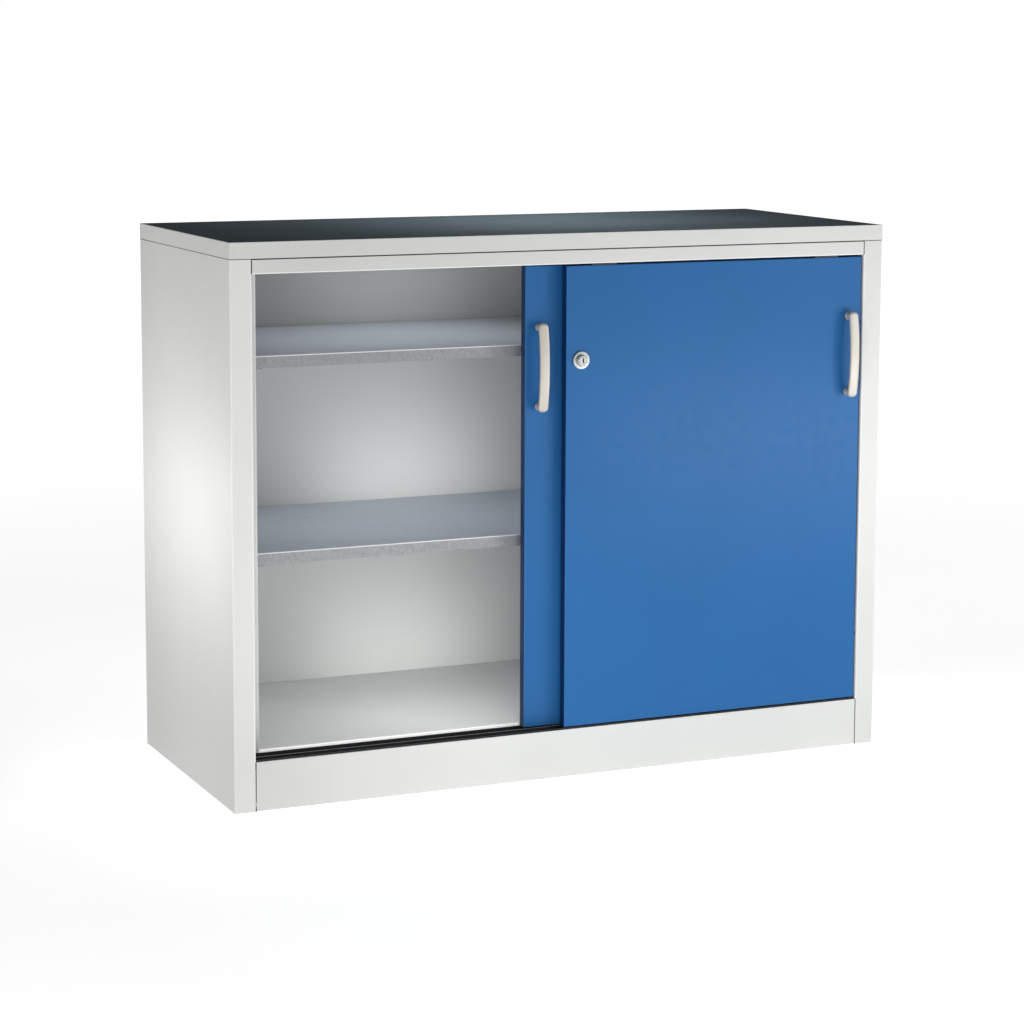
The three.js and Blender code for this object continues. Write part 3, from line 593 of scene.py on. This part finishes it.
def blended(bm, voxel, rounds):
    """Melts the closed forms of a bmesh into one skin with soft joins, and returns it."""
    rough = bpy.data.meshes.new("rough")
    bm.to_mesh(rough)
    bm.free()
    holder = bpy.data.objects.new("rough", rough)
    bpy.context.scene.collection.objects.link(holder)
    remesh = holder.modifiers.new("skin", "REMESH")
    remesh.mode = "VOXEL"
    remesh.voxel_size = voxel
    whole = holder.evaluated_get(bpy.context.evaluated_depsgraph_get())
    melted = bmesh.new()
    melted.from_mesh(whole.to_mesh())
    whole.to_mesh_clear()
    bpy.data.objects.remove(holder)
    bpy.data.meshes.remove(rough)
    for _ in range(rounds):
        bmesh.ops.smooth_vert(
            melted, verts=melted.verts, factor=0.5,
            use_axis_x=True, use_axis_y=True, use_axis_z=True,
        )
    return melted


# Handles


def handle(node, body):
    """The bow: a strap that bows outwards and rounds off at its ends, melted onto two legs."""
    low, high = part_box(node)
    middle_x = (low.x + high.x) / 2
    middle_z = (low.z + high.z) / 2
    half = (high.z - low.z) / 2
    wide = (high.x - low.x) / 2
    reach = high.y - low.y
    inside = HANDLE_END_DEPTH - HANDLE_STRAP
    power_across, power_out = HANDLE_SQUARE
    bm = bmesh.new()
    rings = []
    for i in range(HANDLE_STEPS + 1):
        turn = math.sin(math.pi * (i / HANDLE_STEPS - 0.5))
        up = half * turn
        # The bow, then the rounding of the end as seen from the side and from the front
        bowed = (reach - HANDLE_END_DEPTH) * (1 - turn * turn)
        to_end = half - abs(up)
        side_round = max(0, 1 - to_end / HANDLE_CORNER)
        front_round = max(0, 1 - to_end / HANDLE_END_ROUND)
        front = HANDLE_END_DEPTH + bowed - HANDLE_CORNER * (1 - math.sqrt(1 - side_round ** 2))
        back = inside + bowed
        across = wide - HANDLE_END_ROUND * (1 - math.sqrt(1 - front_round ** 2))
        ring = []
        for k in range(HANDLE_SIDES):
            angle = 2 * math.pi * k / HANDLE_SIDES
            c, s = math.cos(angle), math.sin(angle)
            x = across * math.copysign(abs(c) ** power_across, c)
            y = (front + back) / 2 + (front - back) / 2 * math.copysign(abs(s) ** power_out, s)
            ring.append((middle_x + x, high.y - y, middle_z + up))
        rings.append(ring)
    skin(bm, rings)
    leg = HANDLE_LEG / 2
    profile = [
        (0, high.y),
        (leg + HANDLE_FOOT, high.y),
        (leg + HANDLE_FOOT, high.y - HANDLE_FOOT),
        (leg, high.y - 3 * HANDLE_FOOT),
        (leg, high.y - inside - HANDLE_STRAP / 2),
        (0, high.y - inside - HANDLE_STRAP / 2),
    ]
    for end in (-1, 1):
        turned(bm, profile, middle_x, middle_z + end * HANDLE_PITCH / 2, HANDLE_LEG_SIDES)
    melted = blended(bm, HANDLE_GRAIN, HANDLE_ROUNDS)
    piece(f"{node}_bow", melted, "handle_metal", body, node, HANDLE_SMOOTH)


for door in ("inner", "outer"):
    handle(f"{door}_handle", f"{door}_door")


# Lock


def middle(low, high):
    return (low.x + high.x) / 2, (low.z + high.z) / 2


def lock_collar():
    """The collar, with a rounded edge and a turned ring, on the barrel through the door."""
    low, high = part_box("lock_housing")
    plunger_low, plunger_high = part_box("lock_plunger")
    bore = (plunger_high.x - plunger_low.x) / 2 + LOCK_CLEARANCE
    collar = (high.x - low.x) / 2
    barrel = collar - LOCK_COLLAR_LAP
    face = low.y + LOCK_COLLAR_HEIGHT
    edge = LOCK_COLLAR_EDGE
    ring = bore + LOCK_RING_PLACE
    profile = [
        (bore, low.y + LOCK_RING_WIDTH),
        (bore + LOCK_RING_WIDTH, low.y),
        (ring, low.y),
        (ring + LOCK_RING_WIDTH / 2, low.y + LOCK_RING_DEPTH),
        (ring + LOCK_RING_WIDTH, low.y),
        *arc(collar - edge, low.y + edge, edge, -90, 0, steps=6),
        (collar, face),
        (barrel, face),
        (barrel, high.y),
        (bore, high.y),
    ]
    bm = bmesh.new()
    turned(bm, profile, *middle(low, high), LOCK_SIDES)
    piece("lock_collar", bm, "nickel", "outer_door", "lock_housing", LOCK_SMOOTH)


def lock_cylinder():
    """The push cylinder: a rounded rim round the key plug's bore, and the pin at its back."""
    low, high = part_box("lock_plunger")
    plug_low, plug_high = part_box("lock_rotor")
    radius = (high.x - low.x) / 2
    bore = (plug_high.x - plug_low.x) / 2 + LOCK_CLEARANCE
    pocket = plug_high.y + LOCK_CLEARANCE
    shoulder = high.y - PIN_LENGTH
    tip = PIN_RADIUS - PLUNGER_EDGE
    profile = [
        (0, pocket),
        (bore, pocket),
        (bore, low.y + PLUNGER_LIP),
        (bore + PLUNGER_LIP, low.y),
        *arc(radius - PLUNGER_EDGE, low.y + PLUNGER_EDGE, PLUNGER_EDGE, -90, 0, steps=8),
        (radius, shoulder),
        (PIN_RADIUS, shoulder),
        *arc(tip, high.y - PLUNGER_EDGE, PLUNGER_EDGE, 0, 90, steps=4),
        (0, high.y),
    ]
    bm = bmesh.new()
    turned(bm, profile, *middle(low, high), LOCK_SIDES)
    piece("lock_cylinder_face", bm, "nickel", "lock_cylinder", "lock_plunger", LOCK_SMOOTH)


def loop_at(bm, points, y):
    return [bm.verts.new((x, y, z)) for x, z in points]


def edges_of(bm, loop):
    count = len(loop)
    return [bm.edges.get((loop[i], loop[(i + 1) % count])) for i in range(count)]


def key_plug():
    """The key plug, with a warded keyway that steps from side to side."""
    low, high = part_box("lock_rotor")
    centre_x, centre_z = middle(low, high)
    radius = (high.x - low.x) / 2

    def circle(r):
        turns = [2 * math.pi * k / PLUG_SIDES for k in range(PLUG_SIDES)]
        return [(centre_x + r * math.cos(t), centre_z + r * math.sin(t)) for t in turns]

    # The keyway's middle line, as shares of its step and of half its height
    line_shares = [(0.3, 1), (0.3, 0.5), (-0.5, 0.12), (-0.5, -0.12), (0.5, -0.5), (0.5, -1)]
    line = [(centre_x + u * KEYWAY_STEP, centre_z + v * KEYWAY_HEIGHT / 2) for u, v in line_shares]
    half = KEYWAY_WIDTH / 2
    slot = [(x + half, z) for x, z in line] + [(x - half, z) for x, z in reversed(line)]
    bm = bmesh.new()
    back = loop_at(bm, circle(radius), high.y)
    side = loop_at(bm, circle(radius), low.y + PLUG_EDGE)
    rim = loop_at(bm, circle(radius - PLUG_EDGE), low.y)
    mouth = loop_at(bm, slot, low.y)
    bottom = loop_at(bm, slot, low.y + KEYWAY_DEPTH)
    band(bm, back, side)
    band(bm, side, rim)
    band(bm, mouth, bottom)
    bm.faces.new(back)
    bm.faces.new(bottom)
    bmesh.ops.triangle_fill(bm, use_beauty=True, edges=edges_of(bm, rim) + edges_of(bm, mouth))
    plug = piece("lock_key_plug", bm, "nickel", "key_plug", "lock_rotor", LOCK_SMOOTH)
    # The key plug's finish has painted shade deep in its keyway
    plug.data.materials[0] = satin_metal("nickel_keyway_painted_shade", *NICKEL, low.y + PLUG_EDGE)


lock_collar()
lock_cylinder()
key_plug()


# Mat


def mat():
    """The mat's rounded ribs, as one outline that runs from the cabinet's left to its right."""
    low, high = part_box("rubber_mat")
    count = round((high.y - low.y) / MAT_RIB_PITCH)
    pitch = (high.y - low.y) / count
    top = []
    for i in range(count):
        for k in range(MAT_RIB_STEPS):
            turn = k / MAT_RIB_STEPS
            drop = MAT_RIB_DEPTH * (1 - math.sin(math.pi * turn)) ** 2
            top.append((low.y + (i + turn) * pitch, high.z - drop))
    top.append((high.y, high.z - MAT_RIB_DEPTH))
    outline = [(low.y, low.z), *top, (high.y, low.z)]
    bm = bmesh.new()
    skin(bm, [[(x, y, z) for y, z in outline] for x in (low.x, high.x)])
    piece("ribbed_mat", bm, "mat_rubber", "cabinet", "rubber_mat", MAT_SMOOTH)


mat()


# Stage: a pale floor, soft light and the camera


def floor_material():
    """A pale floor that glows, more so away from the middle, so it meets the white background."""
    s = Surface("studio_floor")
    tone = s.to_range(s.noise(2, detail=2), 0, 1, *SPREAD)
    s.color(s.blend(tone, *FLOOR_TONES))
    s.shader.inputs["Roughness"].default_value = FLOOR_ROUGHNESS
    reach = s.tree.nodes.new("ShaderNodeVectorMath")
    reach.operation = "LENGTH"
    s.link(s.place, reach.inputs[0])
    away = s.to_range(reach.outputs["Value"], 0, 1, *FLOOR_GLOW_SPAN)
    glow = s.blend(away, FLOOR_GLOW_NEAR, FLOOR_GLOW_FAR)
    s.link(glow, s.shader.inputs["Emission Color"])
    s.shader.inputs["Emission Strength"].default_value = FLOOR_GLOW
    return s.material


def floor():
    bm = bmesh.new()
    bmesh.ops.create_grid(bm, x_segments=4, y_segments=4, size=FLOOR_REACH)
    mesh = bpy.data.meshes.new("studio_floor")
    bm.to_mesh(mesh)
    bm.free()
    mesh.materials.append(floor_material())
    made = bpy.data.objects.new("studio_floor", mesh)
    made.location.z = -FLOOR_DROP
    bpy.context.scene.collection.objects.link(made)


def softbox(name, place, target, size, power):
    """A soft light that the camera doesn't see. One that stands indoors shows in no gloss."""
    light = bpy.data.lights.new(name, "AREA")
    light.shape = "RECTANGLE"
    light.size, light.size_y = size
    light.energy = power
    made = bpy.data.objects.new(name, light)
    made.location = place
    made.rotation_euler = (Vector(target) - Vector(place)).to_track_quat("-Z", "Y").to_euler()
    made.visible_camera = False
    made.visible_glossy = max(abs(c) for c in place[:2]) > INDOORS
    bpy.context.scene.collection.objects.link(made)
    return made


def world():
    """Soft light from all round, in front of a white background."""
    made = bpy.data.worlds.new("studio")
    made.use_nodes = True
    tree = made.node_tree
    background = tree.nodes["Background"]
    background.inputs["Color"].default_value = (1, 1, 1, 1)
    ray = tree.nodes.new("ShaderNodeLightPath")
    strength = tree.nodes.new("ShaderNodeMapRange")
    strength.inputs["To Min"].default_value = ROOM_LIGHT
    strength.inputs["To Max"].default_value = 1
    tree.links.new(ray.outputs["Is Camera Ray"], strength.inputs["Value"])
    tree.links.new(strength.outputs["Result"], background.inputs["Strength"])
    bpy.context.scene.world = made


def camera():
    data = bpy.data.cameras.new("camera")
    data.sensor_width = SENSOR_WIDTH
    data.lens = FOCAL_PIXELS / FRAME_PIXELS * SENSOR_WIDTH
    data.shift_y = CAMERA_SHIFT
    made = bpy.data.objects.new("camera", data)
    turn = Matrix.Rotation(math.radians(-CAMERA_YAW), 3, "Z")
    turn = turn @ Matrix.Rotation(math.radians(90 + CAMERA_PITCH), 3, "X")
    turn = turn @ Matrix.Rotation(math.radians(CAMERA_ROLL), 3, "Z")
    made.rotation_euler = turn.to_euler()
    made.location = CAMERA_PLACE
    bpy.context.scene.collection.objects.link(made)
    bpy.context.scene.camera = made


floor()
world()
for light in STUDIO_LIGHTS:
    softbox(*light)
for *light, target in NODE_LIGHTS:
    lit = bpy.data.collections.new(light[0] + "_target")
    lit.objects.link(nodes[target])
    softbox(*light).light_linking.receiver_collection = lit
camera()
bpy.context.scene.view_settings.view_transform = "Standard"
